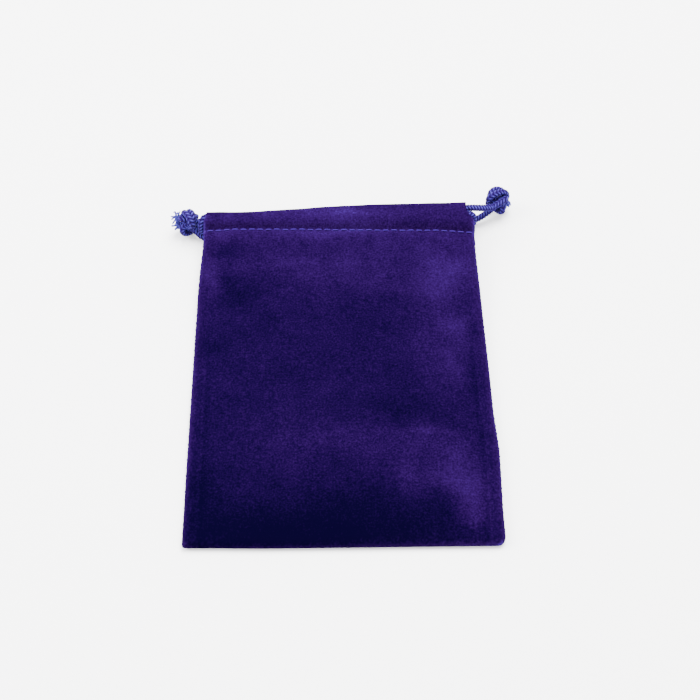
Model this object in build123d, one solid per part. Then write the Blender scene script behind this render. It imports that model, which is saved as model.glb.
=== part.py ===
from build123d import *
import math
import os

# A drawstring pouch of velour cloth that lies on its back, empty, with its mouth towards +Y.
# X runs across the pouch, Y from the bottom fold to the mouth, Z up from the surface it lies on.
# The cloth is one strip, folded at the bottom and sewn up both sides. It is written here as the
# areas that a sewer names: panels, casings, hems and seam allowances. All sizes are in mm.

# ---- Driving sizes
WIDTH = 101.6            # across the side seams
LENGTH = 139.7           # from the bottom fold to the mouth, at the right-hand side
CLOTH = 0.6              # one layer of velour
CORD = 2.3               # diameter of the drawcords
CASING_LEFT = 9.0        # height of the casing at its left end: it is sewn unevenly
CASING_RIGHT = 13.0      # and at its right end
ALLOWANCE = 3.5          # cloth turned in along each side seam
STITCH_PITCH = 3.0
THREAD = 0.45            # diameter of the sewing thread

# ---- Heights inside the pouch, all of them undersides of the layer that they name
LAYER_GAP = 0.05         # between layers that lie on each other
POCKET = 2.6             # room for a cord inside a casing
MOUTH_LEFT = 3.0         # gap between the two casings at the left end
MOUTH_RIGHT = 5.5        # and at the right end
SEAM_LEVEL = 3 * (CLOTH + LAYER_GAP)     # front panel along the side seams
SEAM_LIFT = 1.8          # rise of the seam allowances where they reach the casing
BULGE_LOW = 5.3          # front panel in the middle, near the bottom
BULGE_HIGH = 6.4         # front panel in the middle, nearer the mouth
STITCH_FOOT = 6.0        # front panel at the ends of the casing stitching, before its tilt
STITCH_CREST = 8.6       # front panel in the middle of the casing stitching

# ---- Worked out from those
EDGE_X = WIDTH / 2
CASING_X = EDGE_X - 0.8                  # the casings end a little short of the side seams
TILT = (MOUTH_RIGHT - MOUTH_LEFT) / (2 * CASING_X)     # the front casing rises to the right
BOTTOM_Y = -LENGTH / 2
STITCH_Y = LENGTH / 2 - CASING_RIGHT
FOLD_INNER = POCKET / 2                  # the cloth rolls round this radius at the mouth
FOLD_OUTER = FOLD_INNER + CLOTH
BACK_CASING_TOP = 2 * FOLD_OUTER
BOTTOM_FOLD_OUTER = (SEAM_LEVEL + CLOTH) / 2
PANEL_START_Y = BOTTOM_Y + BOTTOM_FOLD_OUTER

# ---- Plan of the front panel's bulge
FLAT_X = 30.0            # the bulge is level to here
FOOT_X = 46.5            # and comes down to the side seam here
SHOULDER_STEPS = 5       # stations at which a casing follows that shoulder
BULGE_START_Y = -52.0
BULGE_END_Y = 15.0       # from here the side seams lift towards the casing

HEM_TAIL = 1.5           # cloth of the hems below the stitch line
HEM_DIP = 0.25           # how far that tail hangs below the panel
RAMP = 1.25              # length over which a casing climbs from its stitch line
STITCH_LENGTH = 2.0
SEAM_STITCH_INSET = 0.6
BARTACK = 0.8            # diameter of the bar of thread at the foot of each slit


def mouth_y(x):
    """Where the mouth edge is: higher at the right end, because the casing is uneven."""
    share = (x + CASING_X) / (2 * CASING_X)
    return STITCH_Y + CASING_LEFT + share * (CASING_RIGHT - CASING_LEFT)


def mouth_gap(x):
    return (MOUTH_LEFT + MOUTH_RIGHT) / 2 + TILT * x


def stitch_level(x):
    """Underside of the front cloth along the casing stitching."""
    share = min(max((FOOT_X - abs(x)) / (FOOT_X - FLAT_X), 0), 1)
    bulge = (STITCH_CREST - STITCH_FOOT) * share ** 2 * (3 - 2 * share)
    return STITCH_FOOT + bulge + TILT * x


def lifted(y, low, high):
    """A height along the side seams: low to where they lift, then up to high at the casing."""
    share = max((y - BULGE_END_Y) / (STITCH_Y - BULGE_END_Y), 0)
    return low + share * (high - low)


# ---------------------------------------------------------------- panels

def bulged_section(y, foot, crest, tilt=0):
    """Cross-section of the front panel at y: edges, curved shoulders and crest, all tilted."""
    pull = (FOOT_X - FLAT_X) / 3

    def at(x, z):
        return (x, z + tilt * x)

    def shoulder(side, low, high):
        points = [(FOOT_X, low), (FOOT_X - pull, low), (FLAT_X + pull, high), (FLAT_X, high)]
        return Bezier(*[at(side * x, z) for x, z in points])

    def outline(z_shift):
        low, high = foot + z_shift, crest + z_shift
        edges = [Line(at(side * EDGE_X, low), at(side * FOOT_X, low)) for side in (-1, 1)]
        crest_line = Line(at(-FLAT_X, high), at(FLAT_X, high))
        return edges + [shoulder(-1, low, high), crest_line, shoulder(1, low, high)]

    under = outline(0)
    over = outline(CLOTH)
    sides = [Line(at(x, foot), at(x, foot + CLOTH)) for x in (-EDGE_X, EDGE_X)]
    face = make_face(under + over + sides)
    across = Plane(origin=(0, y, 0), x_dir=(1, 0, 0), z_dir=(0, -1, 0))
    return across * face


def front_panel():
    """The upper cloth, a shallow tunnel that rises from the bottom fold to the casing."""
    sections = [
        bulged_section(PANEL_START_Y, SEAM_LEVEL, SEAM_LEVEL),
        bulged_section(BULGE_START_Y, SEAM_LEVEL, BULGE_LOW),
        bulged_section(BULGE_END_Y, SEAM_LEVEL, BULGE_HIGH),
        bulged_section(STITCH_Y, STITCH_FOOT, STITCH_CREST, TILT),
    ]
    return loft(sections, ruled=True)


def slab(x_low, x_high, y_low, y_high, z_low, z_high):
    corner = (x_low, y_low, z_low)
    size = (x_high - x_low, y_high - y_low, z_high - z_low)
    return Pos(*corner) * Box(*size, align=(Align.MIN, Align.MIN, Align.MIN))


def back_panel():
    """The lower cloth, flat on the surface that the pouch lies on."""
    return slab(-EDGE_X, EDGE_X, PANEL_START_Y, STITCH_Y, 0, CLOTH)


def bottom_fold():
    """The strip's fold, which rolls from the back panel up to the front panel."""
    centre_z = BOTTOM_FOLD_OUTER
    inner = BOTTOM_FOLD_OUTER - CLOTH
    ring = Circle(BOTTOM_FOLD_OUTER) - Circle(inner)
    half = Rectangle(2 * BOTTOM_FOLD_OUTER, 2 * BOTTOM_FOLD_OUTER, align=(Align.MAX, Align.CENTER))
    along = Plane(origin=(-EDGE_X, PANEL_START_Y, centre_z), x_dir=(0, 1, 0), z_dir=(1, 0, 0))
    return extrude(along * (ring & half), WIDTH)


def seam_allowance(side):
    """The two strips of cloth turned in along one side seam: one of the back, one of the front."""
    low_x = min(side * EDGE_X, side * (EDGE_X - ALLOWANCE))
    along = Plane(origin=(low_x, 0, 0), x_dir=(0, 1, 0), z_dir=(1, 0, 0))
    strips = []
    for layers_below in (1, 2):
        level = layers_below * (CLOTH + LAYER_GAP)
        under = [(y, lifted(y, level, level + SEAM_LIFT)) for y in (PANEL_START_Y, BULGE_END_Y, STITCH_Y)]
        over = [(y, z + CLOTH) for y, z in reversed(under)]
        outline = make_face(Polyline(*under, *over, close=True))
        strips.append(extrude(along * outline, ALLOWANCE))
    return Compound(children=strips)


# ---------------------------------------------------------------- casings

def along_width(section, stations=(-CASING_X, CASING_X)):
    """Join cross-sections of a casing: section(x) gives the outline's edges in Y and Z at x."""
    faces = []
    for x in stations:
        across = Plane(origin=(x, 0, 0), x_dir=(0, 1, 0), z_dir=(1, 0, 0))
        faces.append(across * make_face(section(x)))
    return loft(faces, ruled=True)


def mouth_roll(y, z, radius, upward):
    """Half circle at the mouth edge, centred on (y, z), from its near end round to the other."""
    sign = -1 if upward else 1
    return ThreePointArc((y, z + sign * radius), (y + radius, z), (y, z - sign * radius))


def back_casing():
    """Outer layer of the back casing, with the roll at the mouth that leads into its hem."""
    def section(x):
        y = mouth_y(x) - FOLD_OUTER
        z = FOLD_OUTER
        return [
            Polyline((y, 0), (STITCH_Y, 0), (STITCH_Y, CLOTH), (y, CLOTH)),
            mouth_roll(y, z, FOLD_INNER, upward=True),
            mouth_roll(y, z, FOLD_OUTER, upward=True),
            Line((y, z + FOLD_INNER), (y, z + FOLD_OUTER)),
        ]

    return along_width(section)


def back_hem():
    """Turned-in layer of the back casing, over the cords and down to the stitch line."""
    low = CLOTH + LAYER_GAP

    def section(x):
        y = mouth_y(x) - FOLD_OUTER
        under = [(STITCH_Y - HEM_TAIL, low), (STITCH_Y, low)]
        under += [(STITCH_Y + RAMP, CLOTH + POCKET), (y, CLOTH + POCKET)]
        over = [(y, BACK_CASING_TOP), (STITCH_Y + RAMP - CLOTH / 2, BACK_CASING_TOP)]
        over += [(STITCH_Y - CLOTH / 2, low + CLOTH), (STITCH_Y - HEM_TAIL, low + CLOTH)]
        return [Polyline(*under, *over, close=True)]

    return along_width(section)


def front_stations():
    """Where the front casing is cut across, so that it follows the front panel's shoulders."""
    step = (FOOT_X - FLAT_X) / SHOULDER_STEPS
    right = [FLAT_X + i * step for i in range(SHOULDER_STEPS + 1)] + [CASING_X]
    return [-x for x in reversed(right)] + right


def front_roll_centre(x):
    y = mouth_y(x) - FOLD_OUTER
    z = BACK_CASING_TOP + mouth_gap(x) + FOLD_OUTER
    return y, z


def front_casing():
    """Outer layer of the front casing, with the roll at the mouth that leads into its hem."""
    def section(x):
        y, z = front_roll_centre(x)
        under = z + FOLD_INNER
        over = z + FOLD_OUTER
        foot = stitch_level(x)
        return [
            Polyline((y, under), (STITCH_Y + RAMP, under), (STITCH_Y, foot), (STITCH_Y, foot + CLOTH)),
            Polyline((STITCH_Y, foot + CLOTH), (STITCH_Y + RAMP - CLOTH / 2, over), (y, over)),
            mouth_roll(y, z, FOLD_INNER, upward=False),
            mouth_roll(y, z, FOLD_OUTER, upward=False),
            Line((y, z - FOLD_INNER), (y, z - FOLD_OUTER)),
        ]

    return along_width(section, front_stations())


def front_hem():
    """Turned-in layer of the front casing, under the cords."""
    def section(x):
        y, z = front_roll_centre(x)
        top = stitch_level(x) - LAYER_GAP
        over = [(STITCH_Y - HEM_TAIL, top - HEM_DIP), (STITCH_Y + CLOTH, top), (y, z - FOLD_INNER)]
        under = [(y, z - FOLD_OUTER), (STITCH_Y + CLOTH, top - CLOTH)]
        under += [(STITCH_Y - HEM_TAIL, top - HEM_DIP - CLOTH)]
        return [Polyline(*over, *under, close=True)]

    return along_width(section, front_stations())


# ---------------------------------------------------------------- sewing

def casing_stitches(level):
    """One row of stitches across the pouch, half sunk in the cloth at the height level(x)."""
    count = int((2 * CASING_X - STITCH_PITCH) // STITCH_PITCH) + 1
    stitch = Rot(0, 90, 0) * Cylinder(THREAD / 2, STITCH_LENGTH)
    threads = []
    for i in range(count):
        x = (i - (count - 1) / 2) * STITCH_PITCH
        threads.append(Pos(x, STITCH_Y, level(x)) * stitch)
    return Compound(children=threads)


def binding_thread(x, y, diameter):
    """An upright thread that binds the back cloth to the front cloth at the side seam."""
    low = CLOTH / 2
    high = lifted(y, SEAM_LEVEL, STITCH_FOOT + TILT * x) + CLOTH / 2
    upright = Cylinder(diameter / 2, high - low, align=(Align.CENTER, Align.CENTER, Align.MIN))
    return Pos(x, y, low) * upright


def seam_stitches(side):
    """The side seam's stitches, from the bottom fold to the slit."""
    x = side * (EDGE_X - SEAM_STITCH_INSET)
    start_y = PANEL_START_Y + STITCH_PITCH / 2
    end_y = bartack_y() - STITCH_PITCH
    count = int((end_y - start_y) // STITCH_PITCH) + 1
    threads = [binding_thread(x, start_y + i * STITCH_PITCH, THREAD) for i in range(count)]
    return Compound(children=threads)


def bartack_y():
    return STITCH_Y - HEM_TAIL - BARTACK


def slit_bartack(side):
    """Bar of thread that stops the slit at one end of the casing from tearing downwards."""
    return binding_thread(side * (CASING_X - BARTACK), bartack_y(), BARTACK)


# ---------------------------------------------------------------- drawcords

# The left cord is knotted at the left. It runs through the front casing to the right-hand end,
# loops round it and comes back through the back casing. The right cord is its opposite.
LEFT_CORD_ROUTE = [
    (-54.6, 63.0, 7.0), (-52.7, 61.1, 8.2), (-50.3, 60.3, 8.75), (-46.0, 60.2, 8.85),
    (-39.0, 60.3, 9.05), (-28.0, 60.6, 9.3), (-12.0, 61.3, 9.65), (12.0, 62.4, 10.25),
    (28.0, 63.1, 10.65), (39.0, 63.65, 10.9), (46.0, 64.0, 11.05), (50.2, 64.2, 11.1),
    (51.9, 64.3, 9.7), (52.45, 64.35, 6.5), (51.9, 64.3, 3.3), (50.2, 64.2, 1.9),
    (46.0, 64.1, 1.9), (39.0, 63.8, 1.9), (28.0, 63.2, 1.9), (12.0, 62.4, 1.9),
    (-12.0, 61.4, 1.9), (-28.0, 61.0, 1.9), (-39.0, 60.85, 1.9), (-46.0, 60.8, 1.9),
    (-50.3, 60.9, 1.95), (-52.8, 61.5, 2.4), (-54.6, 62.7, 3.4),
]
RIGHT_CORD_ROUTE = [
    (58.2, 72.3, 6.4), (56.5, 70.5, 7.8), (53.9, 68.7, 9.7), (50.3, 67.5, 11.1),
    (46.0, 67.1, 11.05), (39.0, 67.0, 10.9), (28.0, 66.75, 10.65), (12.0, 66.3, 10.25),
    (-12.0, 65.4, 9.65), (-28.0, 64.75, 9.3), (-39.0, 64.25, 9.05), (-46.0, 63.95, 8.85),
    (-50.1, 63.85, 8.75), (-51.8, 63.8, 7.6), (-52.45, 63.7, 5.35), (-51.8, 63.6, 3.1),
    (-50.1, 63.5, 1.9), (-46.0, 63.6, 1.9), (-39.0, 63.9, 1.9), (-28.0, 64.4, 1.9),
    (-12.0, 65.1, 1.9), (12.0, 65.9, 1.9), (28.0, 66.35, 1.9), (39.0, 66.75, 1.9),
    (46.0, 67.2, 1.9), (50.3, 67.8, 1.9), (53.2, 68.9, 2.2), (55.9, 70.6, 3.0), (57.9, 72.5, 3.9),
]
RUN_SHARE = 0.45         # share of the shorter run that a corner's arc may use

KNOT_RING = 3.2          # the knot: two wraps of cord about a core
KNOT_CORD = 1.6
KNOT_CORE = 3.5
KNOT_SPACING = 1.5
LEFT_KNOT = Plane(origin=(-57.0, 64.7, 5.15), z_dir=(-1.0, 0.15, -0.1))
RIGHT_KNOT = Plane(origin=(59.9, 74.9, 5.15), z_dir=(0.55, 0.8, -0.1))
TAIL_LENGTH = 2.8        # frayed end of a cord beyond its knot
TAIL_SPREAD = 1.35
LEFT_TAILS = [
    Plane(origin=(-60.0, 66.6, 5.4), z_dir=(-1.0, 0.3, -0.1)),
    Plane(origin=(-60.1, 64.1, 3.6), z_dir=(-1.0, -0.05, -0.2)),
]
RIGHT_TAILS = [
    Plane(origin=(62.4, 76.0, 3.4), z_dir=(0.9, 0.0, -0.45)),
    Plane(origin=(61.8, 77.8, 3.8), z_dir=(0.55, 0.8, -0.35)),
]


def corner_radii(route):
    """The arc at each corner is as large as its two runs allow."""
    points = [Vector(*point) for point in route]
    radii = []
    for before, corner, after in zip(points, points[1:], points[2:]):
        run_in, run_out = corner - before, after - corner
        half_turn = math.radians(run_in.get_angle(run_out) / 2)
        radii.append(RUN_SHARE * min(run_in.length, run_out.length) / math.tan(half_turn))
    return radii


def cord(name, route):
    """A whole drawcord: straight runs joined by tangent arcs, from knot to knot."""
    radii = corner_radii(route)
    path = FilletPolyline(*route, radius=radii)
    start = Plane(origin=path @ 0, z_dir=path % 0)
    tube = sweep(start * Circle(CORD / 2), path=path)
    expected = math.pi * (CORD / 2) ** 2 * path.length
    print(name, "length", round(path.length, 1), "volume ratio", round(tube.volume / expected, 4))
    print(name, "radii", [round(radius, 1) for radius in radii])
    return tube


def knot(plane):
    wraps = [plane * Pos(0, 0, side * KNOT_SPACING) * Torus(KNOT_RING, KNOT_CORD) for side in (-1, 1)]
    return wraps[0] + wraps[1] + plane * Sphere(KNOT_CORE)


def frayed_tails(planes):
    """Two cut ends of cord that open out beyond their knot."""
    tail = Cone(CORD / 2, TAIL_SPREAD, TAIL_LENGTH, align=(Align.CENTER, Align.CENTER, Align.MIN))
    return Compound(children=[plane * tail for plane in planes])


def write_parts():
    parts = {
        "front_panel": front_panel(),
        "back_panel": back_panel(),
        "bottom_fold": bottom_fold(),
        "left_seam_allowance": seam_allowance(-1),
        "right_seam_allowance": seam_allowance(1),
        "front_casing": front_casing(),
        "front_hem": front_hem(),
        "back_casing": back_casing(),
        "back_hem": back_hem(),
        "front_casing_stitching": casing_stitches(lambda x: stitch_level(x) + CLOTH),
        "back_casing_stitching": casing_stitches(lambda x: THREAD / 2),
        "left_seam_stitching": seam_stitches(-1),
        "right_seam_stitching": seam_stitches(1),
        "left_slit_bartack": slit_bartack(-1),
        "right_slit_bartack": slit_bartack(1),
        "left_cord": cord("left_cord", LEFT_CORD_ROUTE),
        "left_knot": knot(LEFT_KNOT),
        "left_cord_ends": frayed_tails(LEFT_TAILS),
        "right_cord": cord("right_cord", RIGHT_CORD_ROUTE),
        "right_knot": knot(RIGHT_KNOT),
        "right_cord_ends": frayed_tails(RIGHT_TAILS),
    }
    os.makedirs("parts", exist_ok=True)
    for name, shape in parts.items():
        export_step(shape, f"parts/{name}.step")


write_parts()
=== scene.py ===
import math
import random

import bpy
import numpy as np
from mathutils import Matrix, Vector, noise


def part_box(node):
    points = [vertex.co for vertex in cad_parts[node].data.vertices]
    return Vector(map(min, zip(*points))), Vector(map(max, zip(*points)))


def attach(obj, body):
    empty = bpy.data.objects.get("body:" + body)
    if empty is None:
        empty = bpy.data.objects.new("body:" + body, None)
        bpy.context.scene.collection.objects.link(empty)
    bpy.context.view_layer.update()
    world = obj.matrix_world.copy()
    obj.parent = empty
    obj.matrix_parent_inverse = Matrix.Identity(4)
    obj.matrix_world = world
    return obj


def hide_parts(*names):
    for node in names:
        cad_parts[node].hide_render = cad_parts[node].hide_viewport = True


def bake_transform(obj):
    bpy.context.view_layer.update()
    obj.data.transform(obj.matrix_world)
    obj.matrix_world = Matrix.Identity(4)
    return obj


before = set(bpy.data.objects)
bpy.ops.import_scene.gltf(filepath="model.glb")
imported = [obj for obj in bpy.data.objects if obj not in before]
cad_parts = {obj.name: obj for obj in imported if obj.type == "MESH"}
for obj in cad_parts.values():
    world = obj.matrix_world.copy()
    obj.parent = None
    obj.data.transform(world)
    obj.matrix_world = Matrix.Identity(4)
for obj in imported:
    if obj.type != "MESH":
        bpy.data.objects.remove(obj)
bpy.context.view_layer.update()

# The pouch lies on its back: X runs across it, Y from the bottom fold to the mouth, Z up.
# Cloth is worked out in millimetres and scaled when its mesh is made. Cords are in metres.
MM = 0.001


# ---------------------------------------------------------------- camera, light and floor

CAMERA_AT = (-0.0003, -0.2501, 0.3351)
CAMERA_PITCH = math.radians(52.36)       # below the horizon
CAMERA_TURN = math.radians(-0.76)        # from +Y, seen from above
CAMERA_LENS = 62.2                       # on a sensor 36 mm wide


def make_camera():
    data = bpy.data.cameras.new("camera")
    data.lens = CAMERA_LENS
    data.sensor_width = 36.0
    data.clip_start = 0.01
    camera = bpy.data.objects.new("camera", data)
    camera.location = CAMERA_AT
    camera.rotation_euler = (math.radians(90) - CAMERA_PITCH, 0.0, CAMERA_TURN)
    bpy.context.scene.collection.objects.link(camera)
    bpy.context.scene.camera = camera


def area_light(name, place, aim, size, power):
    data = bpy.data.lights.new(name, "AREA")
    data.shape = "DISK"
    data.size = size
    data.energy = power
    light = bpy.data.objects.new(name, data)
    light.location = place
    direction = np.array(aim) - np.array(place)
    light.rotation_euler = Vector(direction).to_track_quat("-Z", "Y").to_euler()
    bpy.context.scene.collection.objects.link(light)


def make_studio():
    world = bpy.data.worlds.new("studio")
    world.use_nodes = True
    background = world.node_tree.nodes["Background"]
    background.inputs["Color"].default_value = (1.0, 1.0, 1.0, 1.0)
    background.inputs["Strength"].default_value = 3.3
    bpy.context.scene.world = world
    area_light("top_light", (0.15, 0.35, 0.9), (0.0, 0.02, 0.0), 0.8, 42.0)
    area_light("left_light", (-0.8, 0.1, 0.6), (0.0, 0.0, 0.0), 0.6, 20.0)

    bpy.ops.mesh.primitive_plane_add(size=6.0, location=(0.0, 0.0, -0.0001))
    floor = bpy.context.object
    floor.name = "floor"
    material, shader = new_material("pale_floor")
    shader.inputs["Base Color"].default_value = (0.92, 0.92, 0.93, 1.0)
    shader.inputs["Roughness"].default_value = 0.9
    shader.inputs["Specular IOR Level"].default_value = 0.1
    floor.data.materials.append(material)


# ---------------------------------------------------------------- materials

def new_material(name):
    material = bpy.data.materials.new(name)
    material.use_nodes = True
    return material, material.node_tree.nodes["Principled BSDF"]


class Nodes:
    """Short calls for building one material's node tree."""

    def __init__(self, material):
        self.tree = material.node_tree

    def add(self, kind, **settings):
        node = self.tree.nodes.new(kind)
        for key, value in settings.items():
            setattr(node, key, value)
        return node

    def link(self, source, target):
        self.tree.links.new(source, target)

    def attribute(self, name, socket):
        return self.add("ShaderNodeAttribute", attribute_name=name).outputs[socket]

    def noise(self, vector, scale, detail=2.0, roughness=0.5):
        node = self.add("ShaderNodeTexNoise")
        node.inputs["Scale"].default_value = scale
        node.inputs["Detail"].default_value = detail
        node.inputs["Roughness"].default_value = roughness
        self.link(vector, node.inputs["Vector"])
        return node.outputs["Fac"]

    def math(self, operation, a, b):
        node = self.add("ShaderNodeMath", operation=operation)
        for socket, value in zip(node.inputs, (a, b)):
            if isinstance(value, (int, float)):
                socket.default_value = value
            else:
                self.link(value, socket)
        return node.outputs["Value"]

    def ramp(self, factor, stops):
        node = self.add("ShaderNodeValToRGB")
        elements = node.color_ramp.elements
        while len(elements) < len(stops):
            elements.new(0.5)
        for element, (position, colour) in zip(elements, stops):
            element.position = position
            element.color = (*colour, 1.0)
        self.link(factor, node.inputs["Fac"])
        return node.outputs["Color"]

    def bump(self, height, distance, strength, normal=None):
        node = self.add("ShaderNodeBump")
        node.inputs["Distance"].default_value = distance
        node.inputs["Strength"].default_value = strength
        self.link(height, node.inputs["Height"])
        if normal is not None:
            self.link(normal, node.inputs["Normal"])
        return node.outputs["Normal"]


# The studio is bright enough for a near-white floor, so the cloth's own colours are very dark; the lightest
# stops also give the painted sheen along the cloth's edges.
VELOUR_TONES = [
    (0.0, (0.00075, 0.00015, 0.0055)), (0.15, (0.0016, 0.00012, 0.0090)),
    (0.30, (0.0030, 0.00016, 0.0127)), (0.42, (0.0049, 0.00057, 0.0170)),
    (0.60, (0.0077, 0.0013, 0.0254)), (0.78, (0.0109, 0.0024, 0.0366)),
    (1.0, (0.0205, 0.0070, 0.0800)),
]


def velour_material():
    """Short pile: lighter and darker patches and painted edge sheen from the pile attribute, then fibres of
    about 0.3 mm.
    """
    material, shader = new_material("velour")
    nodes = Nodes(material)
    place = nodes.attribute("cloth_place", "Vector")
    patch = nodes.attribute("pile", "Fac")
    mottle = nodes.noise(place, 330.0, 3.0, 0.6)
    fibres = nodes.noise(place, 1500.0, 3.0, 0.7)
    lint = nodes.add("ShaderNodeTexVoronoi")
    lint.inputs["Scale"].default_value = 45.0
    nodes.link(place, lint.inputs["Vector"])
    speck = nodes.math("LESS_THAN", lint.outputs["Distance"], 0.010)
    tone = nodes.math("ADD", patch, nodes.math("MULTIPLY", speck, 0.5))
    for cloud, strength in ((mottle, 0.16), (fibres, 1.25)):
        part = nodes.math("MULTIPLY", nodes.math("SUBTRACT", cloud, 0.5), strength)
        tone = nodes.math("ADD", tone, part)
    colour = nodes.ramp(tone, VELOUR_TONES)
    nodes.link(colour, shader.inputs["Base Color"])
    shader.inputs["Roughness"].default_value = 0.85
    shader.inputs["Specular IOR Level"].default_value = 0.0
    shader.inputs["Sheen Weight"].default_value = 0.010
    shader.inputs["Sheen Roughness"].default_value = 0.35
    shader.inputs["Sheen Tint"].default_value = (0.22, 0.13, 1.0, 1.0)
    soft = nodes.bump(mottle, 0.0006, 0.35)
    normal = nodes.bump(fibres, 0.0003, 0.5, soft)
    nodes.link(normal, shader.inputs["Normal"])
    return material


def knit_material():
    """The cloth's back: a fine smooth knit, lighter and duller than the pile."""
    material, shader = new_material("velour_back")
    nodes = Nodes(material)
    place = nodes.attribute("cloth_place", "Vector")
    wave = nodes.add("ShaderNodeTexWave", wave_type="BANDS", bands_direction="X")
    wave.inputs["Scale"].default_value = 500.0
    wave.inputs["Distortion"].default_value = 1.5
    wave.inputs["Detail Scale"].default_value = 2.0
    nodes.link(place, wave.inputs["Vector"])
    cloud = nodes.noise(place, 220.0, 3.0, 0.6)
    ribs = nodes.math("MULTIPLY", wave.outputs["Fac"], 0.35)
    tone = nodes.math("ADD", ribs, nodes.math("MULTIPLY", cloud, 0.6))
    colour = nodes.ramp(tone, [(0.1, (0.0012, 0.0002, 0.0060)), (0.9, (0.0050, 0.0010, 0.0180))])
    nodes.link(colour, shader.inputs["Base Color"])
    shader.inputs["Roughness"].default_value = 0.8
    shader.inputs["Specular IOR Level"].default_value = 0.0
    nodes.link(nodes.bump(wave.outputs["Fac"], 0.0001, 0.5), shader.inputs["Normal"])
    return material


def cord_material():
    """Braided polyester: the relief attribute paints shade into the gaps between strands and a light glint
    on their crests.
    """
    material, shader = new_material("braided_cord")
    nodes = Nodes(material)
    place = nodes.attribute("cloth_place", "Vector")
    relief = nodes.attribute("relief", "Fac")
    fibres = nodes.noise(place, 5200.0, 2.0, 0.6)
    tone = nodes.math("MULTIPLY_ADD", fibres, 0.35)
    tone.node.inputs[2].default_value = -0.17
    tone = nodes.math("ADD", tone, relief)
    # Painted shade at the ramp's dark end and a painted glint at its light end; the frayed ends' fibres, all
    # at relief 1, take the glint.
    colour = nodes.ramp(
        tone,
        [(0.12, (0.0040, 0.0006, 0.0190)), (0.5, (0.0108, 0.0038, 0.0480)), (0.85, (0.0250, 0.0165, 0.1300)),
         (1.0, (0.0480, 0.0420, 0.2400))],
    )
    nodes.link(colour, shader.inputs["Base Color"])
    shader.inputs["Roughness"].default_value = 0.5
    shader.inputs["Specular IOR Level"].default_value = 0.01
    shader.inputs["Sheen Weight"].default_value = 0.01
    shader.inputs["Sheen Roughness"].default_value = 0.4
    shader.inputs["Sheen Tint"].default_value = (0.30, 0.28, 1.0, 1.0)
    nodes.link(nodes.bump(fibres, 0.0001, 0.4), shader.inputs["Normal"])
    return material


def thread_material():
    """Twisted sewing thread, lighter than the cloth."""
    material, shader = new_material("sewing_thread")
    nodes = Nodes(material)
    place = nodes.attribute("cloth_place", "Vector")
    fibres = nodes.noise(place, 6000.0, 2.0, 0.5)
    colour = nodes.ramp(fibres, [(0.3, (0.0150, 0.0045, 0.0620)), (0.7, (0.0320, 0.0110, 0.1450))])
    nodes.link(colour, shader.inputs["Base Color"])
    shader.inputs["Roughness"].default_value = 0.55
    shader.inputs["Specular IOR Level"].default_value = 0.02
    nodes.link(nodes.bump(fibres, 0.0001, 0.5), shader.inputs["Normal"])
    return material


# ---------------------------------------------------------------- meshes

def make_object(name, points, faces, material, place, values, loop_normals=None):
    """A mesh piece in metres. place and values are stored on its points for the material."""
    mesh = bpy.data.meshes.new(name)
    mesh.from_pydata(points.tolist(), [], faces)
    mesh.materials.append(material)
    mesh.attributes.new("cloth_place", "FLOAT_VECTOR", "POINT").data.foreach_set(
        "vector", np.asarray(place, np.float32).ravel()
    )
    for key, numbers in values.items():
        mesh.attributes.new(key, "FLOAT", "POINT").data.foreach_set(
            "value", np.asarray(numbers, np.float32)
        )
    mesh.shade_smooth()
    if loop_normals is not None:
        mesh.normals_split_custom_set(loop_normals)
    piece = bpy.data.objects.new(name, mesh)
    bpy.context.scene.collection.objects.link(piece)
    return piece


# ---------------------------------------------------------------- cords

CORD_DIAMETER = 0.0023
STRAND_CREST = 1.12      # the strands' crests stand out past the cord's mean radius
LEFT_CORD_ROUTE = [
    (-0.0542, 0.0648, 0.0062), (-0.0520, 0.0645, 0.0067), (-0.0503, 0.0634, 0.0074),
    (-0.0488, 0.0614, 0.0084), (-0.0450, 0.0603, 0.0091), (-0.0390, 0.0603, 0.0092),
    (-0.0280, 0.0606, 0.0093), (-0.0120, 0.0613, 0.0093), (0.0120, 0.0624, 0.0093),
    (0.0280, 0.0631, 0.0094), (0.0390, 0.0637, 0.0095), (0.0445, 0.0641, 0.0096),
    (0.0477, 0.0644, 0.0096), (0.0498, 0.0647, 0.0085), (0.0504, 0.0647, 0.0060),
    (0.0500, 0.0645, 0.0035), (0.0484, 0.0642, 0.00215), (0.0455, 0.0641, 0.00205),
    (0.0390, 0.0638, 0.00205), (0.0280, 0.0632, 0.00205), (0.0120, 0.0624, 0.00205),
    (-0.0120, 0.0614, 0.00205), (-0.0280, 0.0610, 0.00205), (-0.0390, 0.06085, 0.00205),
    (-0.0460, 0.0608, 0.0019), (-0.0495, 0.0609, 0.0017), (-0.0513, 0.0612, 0.0016),
    (-0.0530, 0.0625, 0.0022), (-0.0545, 0.0636, 0.0032),
]
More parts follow.
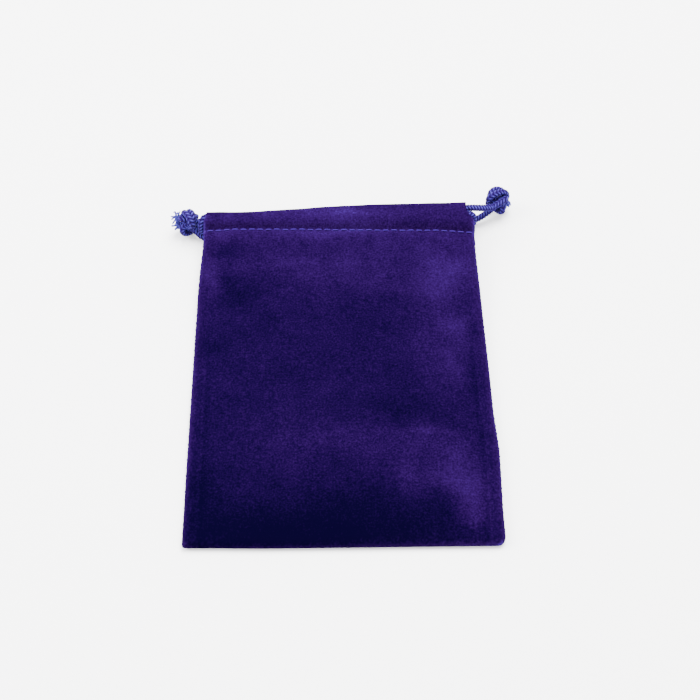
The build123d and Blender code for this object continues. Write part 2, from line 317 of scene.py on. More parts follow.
RIGHT_CORD_ROUTE = [
    (0.0577, 0.0707, 0.0064), (0.0555, 0.0694, 0.0074), (0.0525, 0.0683, 0.0086),
    (0.0490, 0.0675, 0.0096), (0.0450, 0.0668, 0.0100), (0.0390, 0.0665, 0.0099),
    (0.0280, 0.0663, 0.0098), (0.0120, 0.0658, 0.0097), (-0.0120, 0.0648, 0.0096),
    (-0.0280, 0.0641, 0.0095), (-0.0390, 0.0639, 0.0095), (-0.0460, 0.0639, 0.0094),
    (-0.0487, 0.0639, 0.0096), (-0.0502, 0.0633, 0.0102), (-0.0512, 0.0619, 0.0095),
    (-0.0515, 0.0611, 0.0072), (-0.0515, 0.0613, 0.0046), (-0.0507, 0.0626, 0.0034),
    (-0.0493, 0.0635, 0.0024), (-0.0460, 0.0634, 0.00205), (-0.0390, 0.0635, 0.00205),
    (-0.0280, 0.0640, 0.00205), (-0.0120, 0.0646, 0.00205), (0.0120, 0.0654, 0.00205),
    (0.0280, 0.0660, 0.00205), (0.0390, 0.0663, 0.00205), (0.0460, 0.0669, 0.00205),
    (0.0503, 0.0677, 0.0021), (0.0532, 0.0690, 0.0027), (0.0558, 0.0706, 0.0033),
    (0.0578, 0.0723, 0.0039),
]
BRAID_COLUMNS = 2        # columns of leaning strands on half of the cord
BRAID_PITCH = 0.00118    # from one strand to the next, along the cord
BRAID_DEPTH = 0.20       # relief of the strands, as a share of the radius
TUBE_SIDES = 30
TUBE_STEP = 0.00014


def spline_points(route):
    """Points along the smooth line that a route's control points give."""
    curve = bpy.data.curves.new("route", "CURVE")
    curve.dimensions = "3D"
    spline = curve.splines.new("NURBS")
    spline.points.add(len(route) - 1)
    for point, place in zip(spline.points, route):
        point.co = (*place, 1.0)
    spline.order_u = 3
    spline.use_endpoint_u = True
    spline.resolution_u = 16
    holder = bpy.data.objects.new("route", curve)
    mesh = bpy.data.meshes.new_from_object(holder)
    points = np.array([vertex.co for vertex in mesh.vertices])
    bpy.data.meshes.remove(mesh)
    bpy.data.objects.remove(holder)
    bpy.data.curves.remove(curve)
    return points


def resampled(points, step):
    """The same line with its points evenly spaced, about step apart, and how far along each is."""
    lengths = np.linalg.norm(np.diff(points, axis=0), axis=1)
    along = np.concatenate([[0.0], np.cumsum(lengths)])
    count = max(int(round(along[-1] / step)), 2) + 1
    wanted = np.linspace(0.0, along[-1], count)
    return np.stack([np.interp(wanted, along, points[:, i]) for i in range(3)], axis=1), wanted


def unit(vectors):
    return vectors / np.maximum(np.linalg.norm(vectors, axis=-1, keepdims=True), 1e-12)


def moving_frame(points):
    """Tangents and two side directions that turn as little as possible along a line."""
    tangents = unit(np.gradient(points, axis=0))
    start = np.array([0.0, 0.0, 1.0]) if abs(tangents[0][2]) < 0.9 else np.array([1.0, 0.0, 0.0])
    side = unit(start - tangents[0] * start.dot(tangents[0]))
    sides = [side]
    for tangent in tangents[1:]:
        side = side - tangent * side.dot(tangent)
        side = side / np.linalg.norm(side)
        sides.append(side)
    sides = np.array(sides)
    return tangents, sides, np.cross(tangents, sides)


def braid_relief(around, along):
    """0 in the gaps and 1 on the strands, which lean to and fro in columns of chevrons."""
    column = BRAID_COLUMNS * around / math.pi + 0.0 * along
    lean = np.where(np.floor(column) % 2 == 0, 1.0, -1.0)
    across = (along / BRAID_PITCH + lean * 0.9 * (column % 1.0)) % 1.0
    crest = np.sin(math.pi * across) ** 1.1
    arch = 0.45 + 0.55 * np.sin(math.pi * (column % 1.0)) ** 0.7
    return crest * arch


def braided_tube(line, radius):
    """Points, faces and relief of a braided tube along a line."""
    points, along = resampled(line, TUBE_STEP)
    tangents, side_a, side_b = moving_frame(points)
    around = np.arange(TUBE_SIDES) * 2 * math.pi / TUBE_SIDES
    relief = braid_relief(around[None, :], along[:, None])
    reach = radius * (1.0 - BRAID_DEPTH * (1.0 - relief))
    ring = (
        side_a[:, None, :] * np.cos(around)[None, :, None]
        + side_b[:, None, :] * np.sin(around)[None, :, None]
    )
    surface = points[:, None, :] + ring * reach[:, :, None]
    rows = len(points)
    faces = []
    for i in range(rows - 1):
        for j in range(TUBE_SIDES):
            k = (j + 1) % TUBE_SIDES
            a, b = i * TUBE_SIDES, (i + 1) * TUBE_SIDES
            faces.append((a + j, a + k, b + k, b + j))
    faces.append(tuple(range(TUBE_SIDES - 1, -1, -1)))
    faces.append(tuple((rows - 1) * TUBE_SIDES + j for j in range(TUBE_SIDES)))
    flat = surface.reshape(-1, 3)
    return flat, faces, relief.ravel()


def merged(parts):
    """Several (points, faces, relief) as one."""
    points, faces, relief, start = [], [], [], 0
    for part_points, part_faces, part_relief in parts:
        points.append(part_points)
        relief.append(part_relief)
        faces.extend(tuple(i + start for i in face) for face in part_faces)
        start += len(part_points)
    return np.concatenate(points), faces, np.concatenate(relief)


def cord_piece(name, body, nodes, parts, material):
    points, faces, relief = merged(parts)
    piece = make_object(name, points, faces, material, points, {"relief": relief})
    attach(piece, body)
    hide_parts(*nodes)
    return piece


KNOT_RADIUS = 2.25           # the knot's line goes round a torus: mm to the middle of the ring
KNOT_RING = 1.45             # and of the ring itself
KNOT_STRAND = 1.24           # radius of the squeezed cord in the knot
KNOT_SPREAD = 0.62           # half the turn between the two cords that run side by side
KNOT_CUT = 0.16              # share of the closed line left out where the ends come and go
KNOTS = {
    "left": {
        "place": (-0.0564, 0.0641, 0.0060),
        "axis": (-1.0, 0.15, -0.1),
        "stretch": (1.18, 1.25, 1.6),
        "exits": [(-0.0602, 0.0672, 0.0062), (-0.0604, 0.0652, 0.0044)],
    },
    "right": {
        "place": (0.0598, 0.0746, 0.0059),
        "axis": (0.92, -0.3, -0.1),
        "stretch": (-1.2, 1.18, 2.15),
        "exits": [(0.0632, 0.0752, 0.0034), (0.0622, 0.0780, 0.0040)],
    },
}
# Each frayed end: where it starts, which way it points, its length and how far it opens out.
FRAYED_ENDS = {
    "left": [
        ((-0.0594, 0.0668, 0.0064), (-1.0, 0.45, 0.05), 0.0032, 0.0016),
        ((-0.0596, 0.0650, 0.0044), (-1.0, 0.35, -0.1), 0.0029, 0.0018),
    ],
    "right": [
        ((0.0628, 0.0751, 0.0034), (0.9, 0.1, -0.35), 0.0024, 0.0006),
        ((0.0618, 0.0775, 0.0040), (0.55, 0.8, -0.35), 0.0020, 0.0006),
    ],
}
YARNS = 8                    # thick fibres of a cut end, and as many thin ones
YARN_RADIUS = 0.00034
FIBRE_RADIUS = 0.00016


def knot_strand(side, start, exit_point, place, axis, stretch):
    """One cord of a knot tied with both: in from the casing, round, and out to its tail."""
    count = 220
    share = np.linspace(KNOT_CUT / 2, 1.0 - KNOT_CUT / 2, count)
    turn = 2 * math.pi * share
    ring = 3 * turn + side * KNOT_SPREAD
    reach = KNOT_RADIUS + KNOT_RING * np.cos(ring)
    local = np.stack(
        [reach * np.cos(2 * turn), reach * np.sin(2 * turn), KNOT_RING * np.sin(ring)], axis=1
    )
    local *= np.array(stretch)
    z_axis = unit(np.array(axis, float))
    x_axis = unit(np.cross([0.0, 0.0, 1.0], z_axis))
    y_axis = np.cross(z_axis, x_axis)
    world = local @ np.array([x_axis, y_axis, z_axis]) * MM + np.array(place)
    line = np.concatenate([[start], world[6:-6:6], [exit_point]])
    return spline_points([tuple(point) for point in line])


def knot_parts(starts, exits, place, axis, stretch):
    parts = []
    for side, start, exit_point in zip((-1, 1), starts, exits):
        line = knot_strand(side, start, exit_point, place, axis, stretch)
        parts.append(braided_tube(line, KNOT_STRAND * MM))
    return parts


def thin_tube(points, radius, sides=5):
    """A plain fibre or thread along given points, rounded off at its ends."""
    points = np.asarray(points, float)
    tangents, side_a, side_b = moving_frame(points)
    around = np.arange(sides) * 2 * math.pi / sides
    ring = (
        side_a[:, None, :] * np.cos(around)[None, :, None]
        + side_b[:, None, :] * np.sin(around)[None, :, None]
    )
    rows = len(points)
    reach = np.full(rows, radius)
    reach[0] = reach[-1] = 0.35 * radius
    surface = (points[:, None, :] + ring * reach[:, None, None]).reshape(-1, 3)
    faces = []
    for i in range(rows - 1):
        for j in range(sides):
            k = (j + 1) % sides
            a, b = i * sides, (i + 1) * sides
            faces.append((a + j, a + k, b + k, b + j))
    faces.append(tuple(range(sides - 1, -1, -1)))
    faces.append(tuple((rows - 1) * sides + j for j in range(sides)))
    return surface, faces, np.ones(len(surface))


def frayed_end(draw, place, direction, length, spread, radius):
    """A cut end: fibres that leave the cord side by side, open out and curl."""
    axis = unit(np.array(direction, float))
    side_a = unit(np.cross(axis, [0.0, 0.1, 1.0]))
    side_b = np.cross(axis, side_a)
    parts = []
    for _ in range(YARNS):
        angle = draw.uniform(0.0, 2 * math.pi)
        off = 0.0009 * math.sqrt(draw.random())
        out = side_a * math.cos(angle) + side_b * math.sin(angle)
        reach = length * draw.uniform(0.55, 1.0)
        curl = draw.uniform(0.7, 1.5)
        phase = draw.uniform(0.0, 2 * math.pi)
        points = []
        for step in range(13):
            t = step / 12
            wave = 0.0009 * math.sqrt(t) * math.sin(phase + 7.0 * curl * t)
            opened = out * (off + spread * t ** 1.6 * draw.uniform(0.97, 1.03))
            bend = side_a * wave + side_b * wave * math.cos(phase)
            points.append(np.array(place) + axis * reach * (t - 0.35 * curl * t ** 3 / 3) + opened + bend)
        parts.append(thin_tube(points, radius))
    return parts


def make_cord(side, route, draw, material):
    body = f"{side}_drawcord"
    line = spline_points(route)
    cord = cord_piece(
        f"{side}_braided_cord", body, [f"{side}_cord"],
        [braided_tube(line, STRAND_CREST * CORD_DIAMETER / 2)], material,
    )
    knot = cord_piece(
        f"{side}_overhand_knot", body, [f"{side}_knot"],
        knot_parts((route[0], route[-1]), **KNOTS[side]), material,
    )
    fibres = []
    for start, direction, length, spread in FRAYED_ENDS[side]:
        fibres += frayed_end(draw, start, direction, length, spread, YARN_RADIUS)
        fibres += frayed_end(draw, start, direction, 0.7 * length, spread, FIBRE_RADIUS)
    ends = cord_piece(f"{side}_frayed_ends", body, [f"{side}_cord_ends"], fibres, material)
    path, _ = resampled(line, 0.001)
    length = float(np.linalg.norm(np.diff(path, axis=0), axis=1).sum())


def make_cords():
    material = cord_material()
    draw = random.Random(7)
    make_cord("left", LEFT_CORD_ROUTE, draw, material)
    make_cord("right", RIGHT_CORD_ROUTE, draw, material)


# ---------------------------------------------------------------- cloth: sizes and outline

panel_low, panel_high = (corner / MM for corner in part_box("back_panel"))
mouth_low, mouth_high = (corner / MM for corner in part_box("front_casing"))
EDGE_X = panel_high.x
BOTTOM_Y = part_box("bottom_fold")[0].y / MM
STITCH_Y = panel_high.y
MOUTH_Y = mouth_high.y               # at the right-hand end; the casing is lower at the left
CLOTH = panel_high.z - panel_low.z

MOUTH_SET_BACK = 1.2                 # from the CAD casing's end to the roll's edge
MOUTH_RISE = 3.4                     # the mouth edge rises by this from left to right
MOUTH_RISE_FROM = -42.0
MOUTH_RISE_OVER = 60.0
ROLL = 1.6                           # radius of the cloth's middle where it rolls at the mouth
ROLL_MIDDLE = 9.80                   # height of that roll's middle at x = 0, and its slope
ROLL_SLOPE = 0.009
HEM_LEVEL = 7.65                     # height of the front hem below the cords, and its slope
HEM_SLOPE = 0.006
CASING_TOP = 12.0                    # height of the front cloth over the cords, and its slope
CASING_SLOPE = 0.006
BACK_ROLL_MIDDLE = 1.9
ROLL_REACH = 1.9                     # from the mouth's edge to where the cloth is flat again
STITCH_SHIFT = 0.3                   # the stitch line from the CAD one, and its slope
STITCH_SLOPE = 0.012
STITCH_LEVEL = 8.85                  # height of the front cloth at the stitch line's middle
SIDE_LOW = 2.35                      # height of the front cloth near the side seams
SIDE_RISE = 4.9                      # and what it gains up to the casing, from LIFT_FROM on
LIFT_FROM = 6.0
CREST_LOW = 5.1                      # the same along the centre line, near the bottom
REST_Z = CLOTH / 2 + 0.02            # middle of a cloth that lies on the table

# How far each side edge stands out from a straight line: (y, out), both ends of it included.
LEFT_EDGE = [
    (-69.0, -0.75), (-57.0, -0.6), (-44.0, -0.3), (-21.0, -0.05), (-3.0, 0.2), (14.0, 0.45),
    (34.0, 0.45), (50.0, 0.05), (57.0, -0.4),
]
RIGHT_EDGE = [
    (-69.0, -0.2), (-57.0, -0.1), (-45.0, 0.4), (-35.0, 0.75), (-28.0, 0.45), (-20.0, 0.05),
    (6.0, 0.0), (26.0, -0.35), (46.0, -0.65), (57.0, -0.7),
]
CORNER = {-1: 1.6, 1: 3.0}           # radius of each bottom corner, in plan
MOUTH_END = {-1: 49.2, 1: 47.0}      # the casings' ends at the mouth
MOUTH_END_STEEP = {-1: 1.0, 1: 1.6}
SEAM_PITCH = 3.0
SEAM_GAP = 0.22                      # between the cloths at a side seam, each way, in thicknesses

STEP = 0.8                           # spacing of the cloth's mesh
BACK_STEP = 1.6
FLAT_COLUMNS = 58
TURN_COLUMNS = 8
FLAT_WIDTH = 48.0                    # a half's flat part and its turn at the seam, before fitting
TURN_WIDTH = 2.2


def smooth(value):
    value = np.clip(value, 0.0, 1.0)
    return value * value * (3.0 - 2.0 * value)


def mouth_y(x):
    """The front casing's edge at the mouth, which is higher at the right."""
    return MOUTH_Y - MOUTH_SET_BACK - MOUTH_RISE * (1.0 - smooth((x - MOUTH_RISE_FROM) / MOUTH_RISE_OVER))


def roll_z(x):
    """Height of the middle of the front casing's roll."""
    return ROLL_MIDDLE + ROLL_SLOPE * x


def stitch_y(x):
    """The front casing's stitch line, which isn't quite square to the sides."""
    return STITCH_Y + STITCH_SHIFT - STITCH_SLOPE * x


def stitch_z(x):
    """Middle of the front cloth along that line."""
    return STITCH_LEVEL - 0.010 * x - smooth((np.abs(x) - 36.0) / 14.0)


def side_level(y):
    """Middle of the front cloth close to the side seams: it lifts towards the casing."""
    return SIDE_LOW + SIDE_RISE * smooth((y - LIFT_FROM) / (STITCH_Y - LIFT_FROM))


def crest_level(y):
    """Middle of the front cloth along the pouch's centre line."""
    low = CREST_LOW + 1.6 * smooth((y + 60.0) / 75.0)
    return low + 2.25 * smooth((y - 15.0) / (STITCH_Y - 15.0))


def panel_z(x, y):
    """Middle of the front cloth: highest along the centre line, and lifted over each allowance."""
    share = np.clip(np.abs(x) / 50.0, 0.0, 1.0)
    crown = 1.0 - share ** 2.6
    toe = smooth((y - BOTTOM_Y + 1.5) / 14.0)
    side = side_level(y)
    allowance = 0.30 * smooth((np.abs(x) - 46.3) / 1.0)
    return side + (crest_level(y) - side) * crown * toe + allowance


def cord_places(x):
    """The y of each cord in the front casing at x, the left cord first."""
    places = []
    for route in (LEFT_CORD_ROUTE, RIGHT_CORD_ROUTE):
        points = np.array(route[:13]) / MM
        inside = points[np.abs(points[:, 0]) < 47.5]
        inside = inside[np.argsort(inside[:, 0])]
        places.append(np.interp(x, inside[:, 0], inside[:, 1]))
    return places


def front_line(x):
    """Control points, as (y, z), of the front cloth from the hem's raw edge to its last row."""
    y, z = stitch_y(x), stitch_z(x)
    mouth, middle = mouth_y(x), roll_z(x)
    top = middle + ROLL
    under = HEM_LEVEL + HEM_SLOPE * x
    left_y, right_y = cord_places(x)
    over_left = CASING_TOP + CASING_SLOPE * x + 0.3 * smooth((-x - 38.0) / 8.0)
    over_right = over_left + 0.1
    hem = [
        (y - 1.6, z - 0.95),
        (y, z - 0.85),
        (y + 1.5, (z - 0.85 + under) / 2 - 0.1),
        (y + 3.2, under),
        ((y + 3.2 + mouth - ROLL_REACH) / 2, under),
        (mouth - ROLL_REACH, under),
    ]
    casing = [
        (mouth - 0.65, under + 0.4),
        (mouth - 0.12, middle),
        (mouth - 0.55, top - 0.1),
        (right_y, over_right),
        ((right_y + left_y) / 2, over_left - 0.4),
        (left_y, over_left),
        (y + 1.5, z + 0.75 * (over_left - z)),
    ]
    rows = np.linspace(-13.0, -61.0 - STITCH_Y, 9)
    panel = [
        (y, z - 0.5),
        (y - 1.4, z + 0.35),
        (y - 3.4, (z + panel_z(x, y - 3.4)) / 2 + 0.25),
        (y - 7.0, panel_z(x, y - 7.0)),
    ]
    panel += [(STITCH_Y + row, panel_z(x, STITCH_Y + row)) for row in rows]
    return hem, casing, panel


def fold_line(x):
    """The cloth's turn at the bottom, from the front cloth down to the back cloth."""
    corner = 0.45 * smooth((-x - 20.0) / 30.0)
    return [
        (-65.0, panel_z(x, -65.0)),
        (-67.6, 3.0 - 0.2 * np.abs(x) / 50.0),
        (-69.2 + corner, 2.3),
        (-69.75 + corner, 1.3),
        (-69.2 + corner, REST_Z + 0.05),
        (-67.0, REST_Z),
    ]


def back_line(x):
    """The back cloth, from the bottom fold to its hem's raw edge."""
    mouth = mouth_y(x) - 0.5
    middle = BACK_ROLL_MIDDLE
    panel = [(y, REST_Z) for y in (-64.0, -60.0, -40.0, -20.0, 0.0, 20.0, 40.0, 52.0, 55.0)]
    casing = [
        (STITCH_Y, REST_Z + 0.25),
        (STITCH_Y + 1.6, REST_Z),
        (STITCH_Y + 4.2, REST_Z),
        (mouth - ROLL_REACH, REST_Z),
        (mouth - 0.55, REST_Z + 0.12),
        (mouth - 0.12, middle),
        (mouth - 0.55, middle + ROLL - 0.12),
    ]
    hem = [
        (mouth - ROLL_REACH, middle + ROLL + 0.05),
        (STITCH_Y + 4.2, middle + ROLL + 0.3),
        (STITCH_Y + 2.0, middle + ROLL + 0.3),
        (STITCH_Y + 0.7, REST_Z + 1.7),
        (STITCH_Y, REST_Z + 0.9),
        (STITCH_Y - 1.6, REST_Z + 0.75),
    ]
    return panel, casing, hem


# ---------------------------------------------------------------- cloth: the strip's surface

def spline_rows(controls, steps):
    """Rows of a cubic B-spline through stacked control points, and the row at each of them."""
    controls = np.asarray(controls)
    first = 2 * controls[0] - controls[1]
    last = 2 * controls[-1] - controls[-2]
    full = np.concatenate([[first], controls, [last]])
    rows, marks = [], []
    for i in range(len(controls) - 1):
        length = np.linalg.norm(controls[i + 1] - controls[i], axis=0).mean()
        count = max(int(round(length / steps[i])), 2)
        marks.append(len(rows))
        a, b, c, d = full[i : i + 4]
        for t in np.arange(count) / count:
            rows.append(
                ((1 - t) ** 3 * a + (3 * t**3 - 6 * t**2 + 4) * b
                 + (-3 * t**3 + 3 * t**2 + 3 * t + 1) * c + t**3 * d) / 6
            )
    marks.append(len(rows))
    rows.append((full[-3] + 4 * full[-2] + full[-1]) / 6)
    return np.array(rows), marks


def edge_x(side, y):
    """The pouch's side edge in plan, with its rounded bottom corner and the seam's scallops."""
    table = LEFT_EDGE if side < 0 else RIGHT_EDGE
    out = np.interp(y, [row[0] for row in table], [row[1] for row in table])
    radius = CORNER[side]
    short = np.clip(radius - (y - BOTTOM_Y), 0.0, radius)
    corner = radius - np.sqrt(np.maximum(radius**2 - short**2, 0.0))
    scallop = 0.10 * np.cos(2 * math.pi * y / SEAM_PITCH) * smooth((y - 20.0) / 20.0)
    return EDGE_X - CLOTH / 2 + out - corner + scallop


def strip(side):
    """Middle of one half of the cloth: points [row, column] and the rows where its areas meet."""
    inner = np.linspace(0.0, 1.0, FLAT_COLUMNS + 1)
    turning = np.arange(1, TURN_COLUMNS + 1) / TURN_COLUMNS
    nominal = side * np.concatenate([inner * FLAT_WIDTH, FLAT_WIDTH + TURN_WIDTH * turning])
    hem, casing, panel = front_line(nominal)
    fold = fold_line(nominal)
    back_panel, back_casing, back_hem = back_line(nominal)
    areas = [hem, casing, panel, fold, back_panel, back_casing, back_hem]
    spacing = [0.6, 0.45, STEP, 0.5, BACK_STEP, 0.6, 0.6]
    controls, steps, starts = [], [], []
    for area, step in zip(areas, spacing):
        starts.append(len(controls))
        controls += [np.stack(np.broadcast_arrays(y, z + 0.0 * nominal)) for y, z in area]
        steps += [step] * len(area)
    rows, marks = spline_rows(controls, steps)
    y, z = rows[:, 0], rows[:, 1]
    cuts = [marks[i] for i in starts] + [len(rows) - 1]

    in_casing = np.zeros(len(rows), bool)
    in_casing[: cuts[2] + 1] = True
    in_casing[cuts[5] :] = True
    closed = smooth((STITCH_Y - 0.4 - y) / 3.0)
    closed[in_casing] = 0.0
    rise = smooth((y - STITCH_Y) / (mouth_y(side * FLAT_WIDTH) - STITCH_Y))
    limit = edge_x(side, np.minimum(y, STITCH_Y))
    limit = limit + (MOUTH_END[side] - limit) * smooth(MOUTH_END_STEEP[side] * rise)

    seam = 0.5 * (side_level(y) + REST_Z)
    upper = np.zeros(len(rows), bool)
    upper[: (cuts[3] + cuts[4]) // 2] = True
    gap = np.where(upper[:, None], 1.0, -1.0) * CLOTH * SEAM_GAP
    turn_width = 1.3 + 0.35 * np.abs(side_level(y) - REST_Z) / 2
    x = np.empty_like(y)
    width = limit - turn_width
    x[:, : FLAT_COLUMNS + 1] = inner * width[:, : FLAT_COLUMNS + 1]
    angle = turning * math.pi / 2
    part = slice(FLAT_COLUMNS + 1, None)
    shut = closed[:, part]
    across = (1 - shut) * turning + shut * np.sin(angle)
    x[:, part] = width[:, part] + turn_width[:, part] * across
    target = seam[:, part] + gap
    z[:, part] = z[:, part] + shut * (1 - np.cos(angle)) * (target - z[:, part])
    return np.stack([side * x, y, z], axis=2), cuts


def gathered(x, y, side):
    """Small folds across the casing and just below it, which close up when the cord is pulled."""
    near = smooth((y - STITCH_Y + 16.0) / 14.0)
    away = smooth((50.0 - np.abs(x)) / 12.0)
    wave = np.sin(x * 0.74 + 0.6 * np.sin(x * 0.21 + side) + 0.012 * (STITCH_Y - y) * x)
    at_mouth = smooth((y - mouth_y(x) + 5.0) / 4.0)
    return 0.16 * wave * near * away * (1.0 - 0.85 * at_mouth)


def ripples(points, scale, offset):
    """Smooth random heights from -1 to 1, about scale millimetres apart."""
    flat = points.reshape(-1, 3) / scale + np.array(offset)
    heights = [noise.noise(Vector(place)) for place in flat]
    return np.array(heights).reshape(points.shape[:2])


def surface_normals(points, side):
    """Unit normals of a grid, pointing out through the pile."""
    along = np.gradient(points, axis=0)
    across = np.gradient(points, axis=1)
    return unit(side * np.cross(along, across))


# Lighter and darker patches of the pile on the front cloth: (x, y, reach across, reach along, strength).
PILE_PATCHES = [
    (0.0, 64.0, 70.0, 5.0, 0.22), (2.0, 64.0, 9.0, 2.5, 0.22), (-45.0, 61.0, 6.0, 3.0, 0.12),
    (-24.0, 61.0, 12.0, 2.5, 0.08), (33.0, 63.0, 14.0, 4.0, -0.03), (0.0, 56.0, 60.0, 2.5, 0.12),
    (-43.0, 57.0, 6.0, 3.0, 0.14), (-6.0, 56.0, 20.0, 3.0, 0.12), (0.0, 50.0, 60.0, 14.0, 0.17),
    (-41.0, 48.0, 7.0, 4.0, -0.14), (-37.0, 31.0, 10.0, 6.0, -0.13), (-47.0, 36.0, 3.0, 9.0, 0.22),
    (-16.0, 40.0, 24.0, 1.2, 0.06), (41.0, 39.0, 7.0, 6.0, 0.20), (35.0, 31.0, 8.0, 5.0, 0.12),
    (32.0, 21.0, 10.0, 26.0, 0.12), (38.0, 15.0, 6.0, 4.0, 0.14), (46.0, 13.0, 2.5, 4.0, -0.12),
    (45.5, -11.0, 4.0, 12.0, -0.10), (38.0, -3.0, 4.0, 9.0, 0.10), (-44.0, 9.0, 8.0, 4.0, -0.12),
    (20.0, -19.0, 16.0, 5.0, -0.06), (26.0, -29.5, 13.0, 1.5, 0.12), (12.0, -34.0, 22.0, 6.0, 0.12),
    (-14.0, -32.0, 20.0, 8.0, 0.07), (35.0, -38.0, 6.0, 6.0, 0.16), (21.0, -46.0, 5.0, 7.0, 0.18),
    (41.0, -57.0, 5.0, 9.0, 0.27), (38.0, -48.0, 7.0, 5.0, 0.15), (30.0, -60.0, 4.0, 6.0, -0.06),
    (-14.0, -67.0, 46.0, 11.0, -0.40), (5.0, -56.0, 18.0, 5.0, -0.10), (-45.0, -49.0, 9.0, 9.0, -0.18),
    (-18.0, -16.0, 20.0, 8.0, 0.04), (42.0, 15.0, 13.0, 60.0, 0.10), (-3.0, 35.0, 26.0, 8.0, 0.13),
    (33.0, -47.0, 7.0, 6.0, 0.15),
]


def ridge(distance, reach):
    return np.exp(-((distance / reach) ** 2))


def pile_and_sheen_tone(rest, side):
    """How light the pile looks: patches, soft noise, and a painted sheen highlight along the turned edges.
    """
    x, y = rest[..., 0], rest[..., 1]
    tone = np.full(x.shape, 0.24)
    warp_x = 3.0 * ripples(rest, 17.0, (3.1, 7.7, 0.2)) + 1.2 * ripples(rest, 5.0, (2.2, 8.1, 4.0))
    warp_y = 3.0 * ripples(rest, 17.0, (9.4, 1.3, 5.5)) + 1.2 * ripples(rest, 5.0, (7.3, 3.6, 1.0))
    for centre_x, centre_y, reach_x, reach_y, strength in PILE_PATCHES:
        far = ((x + warp_x - centre_x) / reach_x) ** 2 + ((y + warp_y - centre_y) / reach_y) ** 2
        tone = tone + strength * np.exp(-far)
    tone = tone + 0.06 * ripples(rest, 9.0, (1.0, 2.0, 3.0)) + 0.05 * ripples(rest, 3.5, (4.0, 5.0, 6.0))
    inside = edge_x(side, y) + CLOTH / 2 - np.abs(x)
    # Painted sheen highlight: the pile is made lighter within about a millimetre of the side edges, the
    # bottom fold and the mouth's edge.
    tone = tone + 0.95 * np.exp(-np.maximum(inside, 0.0) / 0.85)
    tone = tone + 0.90 * np.exp(-np.maximum(y - BOTTOM_Y, 0.0) / 0.5)
    tone = tone + 0.50 * np.exp(-np.maximum(mouth_y(x) + 0.1 - y, 0.0) / 1.2)
    # Painted highlight and shade on the lower pouch: a lighter line along the ridge over each seam
    # allowance's inner edge, and a darker one just inside it.
    lower = smooth((12.0 - y) / 20.0)
    tone = tone + lower * (0.09 * ridge(inside - 4.3, 0.5) - 0.07 * ridge(inside - 5.6, 0.9))
    return tone + 0.22 * ridge(y - stitch_y(x) + 0.15, 0.45)


def sheet_mesh(name, points, normals, tone, materials, thickness=None):
    """A closed sheet of cloth about a grid of its middle: pile side, knit side and cut edges."""
    half = (CLOTH if thickness is None else thickness) / 2
    rows, columns = points.shape[:2]
    count = rows * columns
    outer = points + normals * half
    inner = points - normals * half
    index = np.arange(count).reshape(rows, columns)
    quads = np.stack([index[:-1, :-1], index[1:, :-1], index[1:, 1:], index[:-1, 1:]], axis=-1)
    quads = quads.reshape(-1, 4)
    corner = points[1, 0] - points[0, 0], points[0, 1] - points[0, 0]
    if np.cross(corner[0], corner[1]).dot(normals[0, 0]) < 0:
        quads = quads[:, ::-1]
    border = np.concatenate([index[0, :], index[1:, -1], index[-1, -2::-1], index[-2:0:-1, 0]])
    after = np.roll(border, -1)
    rim = np.stack([border, border + count, after + count, after], axis=-1)
    middle_edge = outer.reshape(-1, 3)[border[0]], outer.reshape(-1, 3)[after[0]]
    down = inner.reshape(-1, 3)[border[0]] - middle_edge[0]
    out = points[0, 0] - points[1, 0]
    if np.cross(down, middle_edge[1] - middle_edge[0]).dot(out) < 0:
        rim = rim[:, ::-1]
    faces = np.concatenate([quads, quads[:, ::-1] + count, rim])
    flat_normals = normals.reshape(-1, 3)
    face_points = np.concatenate([outer.reshape(-1, 3), inner.reshape(-1, 3)])
    loops = np.empty((len(faces), 4, 3))
    loops[: len(quads)] = flat_normals[quads]
    loops[len(quads) : 2 * len(quads)] = -flat_normals[quads[:, ::-1]]
    a, b, c = (face_points[rim[:, i]] for i in range(3))
    loops[2 * len(quads) :] = unit(np.cross(b - a, c - a))[:, None, :]
    piece = make_object(
        name, face_points * MM, faces.tolist(), materials[0],
        np.tile(points.reshape(-1, 3) * MM, (2, 1)), {"pile": np.tile(tone.ravel(), 2)},
        loops.reshape(-1, 3).tolist(),
    )
    piece.data.materials.append(materials[1])
    sides = np.zeros(len(faces), int)
    sides[len(quads) :] = 1
    piece.data.polygons.foreach_set("material_index", sides)
    return piece


SHEETS = [
    ("front_hem", 0, 1, (0.051, 0.0115), "folded"),
    ("front_casing", 1, 2, (0.051, 0.0160), "folded"),
    ("front_panel", 2, 3, (0.051, 0.1230), "laid"),
    ("back_panel", 4, 5, (0.051, 0.1210), "laid"),
    ("back_casing", 5, 6, (0.051, 0.0140), "folded"),
    ("back_hem", 6, 7, (0.051, 0.0115), "folded"),
]


def gather(piece):
    """Bakes the piece's placement into its mesh."""
    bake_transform(piece)


THREAD = 0.44                         # diameter of the sewing thread
STITCH_PITCH = 3.08
STITCH_LENGTH = 2.3
STITCHES = 16                         # in each half of a casing's row
SEAM_LEVEL = 0.5                      # height of a side seam between the two panels' middles
BARTACK_TURNS = 5
BARTACK_PITCH = 0.3
BARTACK_BELOW = 2.6                   # from the casing's CAD stitch line down to the slit's foot
ALLOWANCE_FROM = 46.9                 # x of a seam allowance's inner edge
ALLOWANCE_GAP = 0.04


def thread_piece(name, node, parts, material):
    points, faces, _ = merged(parts)
    piece = make_object(name, points, faces, material, points, {})
    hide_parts(node)
    gather(piece)
    return piece


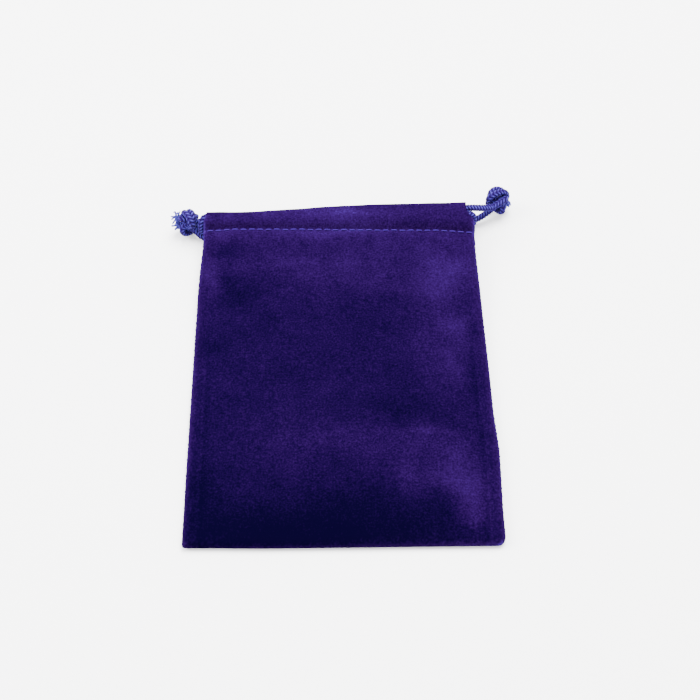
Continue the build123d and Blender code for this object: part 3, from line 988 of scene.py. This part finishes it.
def row_stitches(line, normals, side, depth, radius):
    """Stitches along a row of the cloth's mesh: each lies on the cloth and dips in at both ends."""
    order = np.argsort(line[:, 0])
    line, normals = line[order], normals[order]

    def on_row(x, table):
        return np.stack([np.interp(x, line[:, 0], table[:, i]) for i in range(3)], axis=1)

    parts = []
    for i in range(STITCHES):
        middle = side * (i + 0.5) * STITCH_PITCH
        t = np.linspace(-1.0, 1.0, 11)
        x = middle + t * STITCH_LENGTH / 2
        height = depth + np.sign(depth) * (0.10 - 0.34 * np.abs(t) ** 3)
        points = on_row(x, line) + unit(on_row(x, normals)) * height[:, None]
        parts.append(thin_tube(points * MM, radius * MM, 8))
    return parts


def edge_thread(side, y, level, radius, reach):
    """A thread that goes round the side seam's edge, from the front cloth to the back cloth."""
    angle = np.linspace(-1.25, 1.25, 11)
    edge = edge_x(side, y) + CLOTH / 2 - 0.55
    x = side * (edge + 0.52 * np.cos(angle))
    z = level + reach * np.sin(angle)
    return thin_tube(np.stack([x, np.full(11, y), z], axis=1) * MM, radius * MM, 8)


def seam_level(y):
    return SEAM_LEVEL * (side_level(y) + REST_Z)


def make_side_threads(side, word, material):
    foot = STITCH_Y - BARTACK_BELOW
    rows = np.arange(BOTTOM_Y + 4.0, foot - 1.0, SEAM_PITCH) + SEAM_PITCH / 2
    parts = [edge_thread(side, y, seam_level(y), 0.20, 0.75) for y in rows]
    thread_piece(f"{word}_seam_threads", f"{word}_seam_stitching", parts, material)
    turns = foot + np.arange(BARTACK_TURNS) * BARTACK_PITCH
    parts = [edge_thread(side, y, seam_level(y), 0.19, 1.05) for y in turns]
    thread_piece(f"{word}_bartack_threads", f"{word}_slit_bartack", parts, material)


def make_allowances(word, points, normals, tone, cuts, materials):
    """The cloth turned in along a side seam: a strip under the front panel, one over the back."""
    first = int(FLAT_COLUMNS * ALLOWANCE_FROM / FLAT_WIDTH)
    columns = slice(first, FLAT_COLUMNS + 6)
    pieces = []
    for name, start, end in (("front", cuts[2] + 9, cuts[3]), ("back", cuts[4], cuts[5] - 4)):
        grid = (slice(start, end), columns)
        middle = points[grid] - normals[grid] * (CLOTH + ALLOWANCE_GAP)
        piece = sheet_mesh(
            f"{word}_{name}_allowance", middle, -normals[grid], tone[grid], materials, 0.5
        )
        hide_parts(f"{word}_seam_allowance")
        gather(piece)
        pieces.append(piece)
    return pieces


def shaped_strip(side):
    """Half of the strip with its small folds, its normals and the tone of its pile, painted edge sheen
    included.
    """
    rest, cuts = strip(side)
    normals = surface_normals(rest, side)
    free = smooth((rest[..., 2] - 1.2) / 1.5)
    lift = gathered(rest[..., 0], rest[..., 1], side)
    lift = lift + 0.30 * ripples(rest, 26.0, (0.3, 0.9, 2.0)) + 0.10 * ripples(rest, 8.0, (5.0, 1.0, 2.0))
    over_cords = smooth((rest[..., 1] - STITCH_Y - 1.0) / 2.0)
    lift = np.maximum(lift, -0.45 + 0.35 * over_cords)
    points = rest + normals * (lift * free)[..., None]
    return points, surface_normals(points, side), pile_and_sheen_tone(rest, side), cuts


def make_half(side, word, velour, knit, thread):
    points, normals, tone, cuts = shaped_strip(side)
    allowances = make_allowances(word, points, normals, tone, cuts, (velour, knit))
    for name, first, last, flat, held in SHEETS:
        rows = slice(cuts[first], cuts[last] + 1)
        piece = sheet_mesh(
            f"{name}_cloth_{word}", points[rows], normals[rows], tone[rows], (velour, knit)
        )
        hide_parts(name)
        gather(piece)
    for name, row, outside, inside in (("front", cuts[2], 0.42, -1.32), ("back", cuts[5], 0.14, -1.32)):
        parts = row_stitches(points[row], normals[row], side, outside, THREAD / 2)
        parts += row_stitches(points[row], normals[row], side, inside, THREAD / 2)
        thread_piece(
            f"{name}_casing_threads_{word}", f"{name}_casing_stitching", parts, thread
        )
    make_side_threads(side, word, thread)
    rows = slice(cuts[3], cuts[4] + 1)
    return points[rows], normals[rows], tone[rows]


def make_cloth():
    velour, knit, thread = velour_material(), knit_material(), thread_material()
    left = make_half(-1, "left", velour, knit, thread)
    right = make_half(1, "right", velour, knit, thread)
    joined = [np.concatenate([a[:, :0:-1], b], axis=1) for a, b in zip(left, right)]
    fold = sheet_mesh("bottom_fold_cloth", *joined, (velour, knit))
    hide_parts("bottom_fold")
    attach(fold, "pouch")


make_camera()
make_studio()
make_cords()
make_cloth()
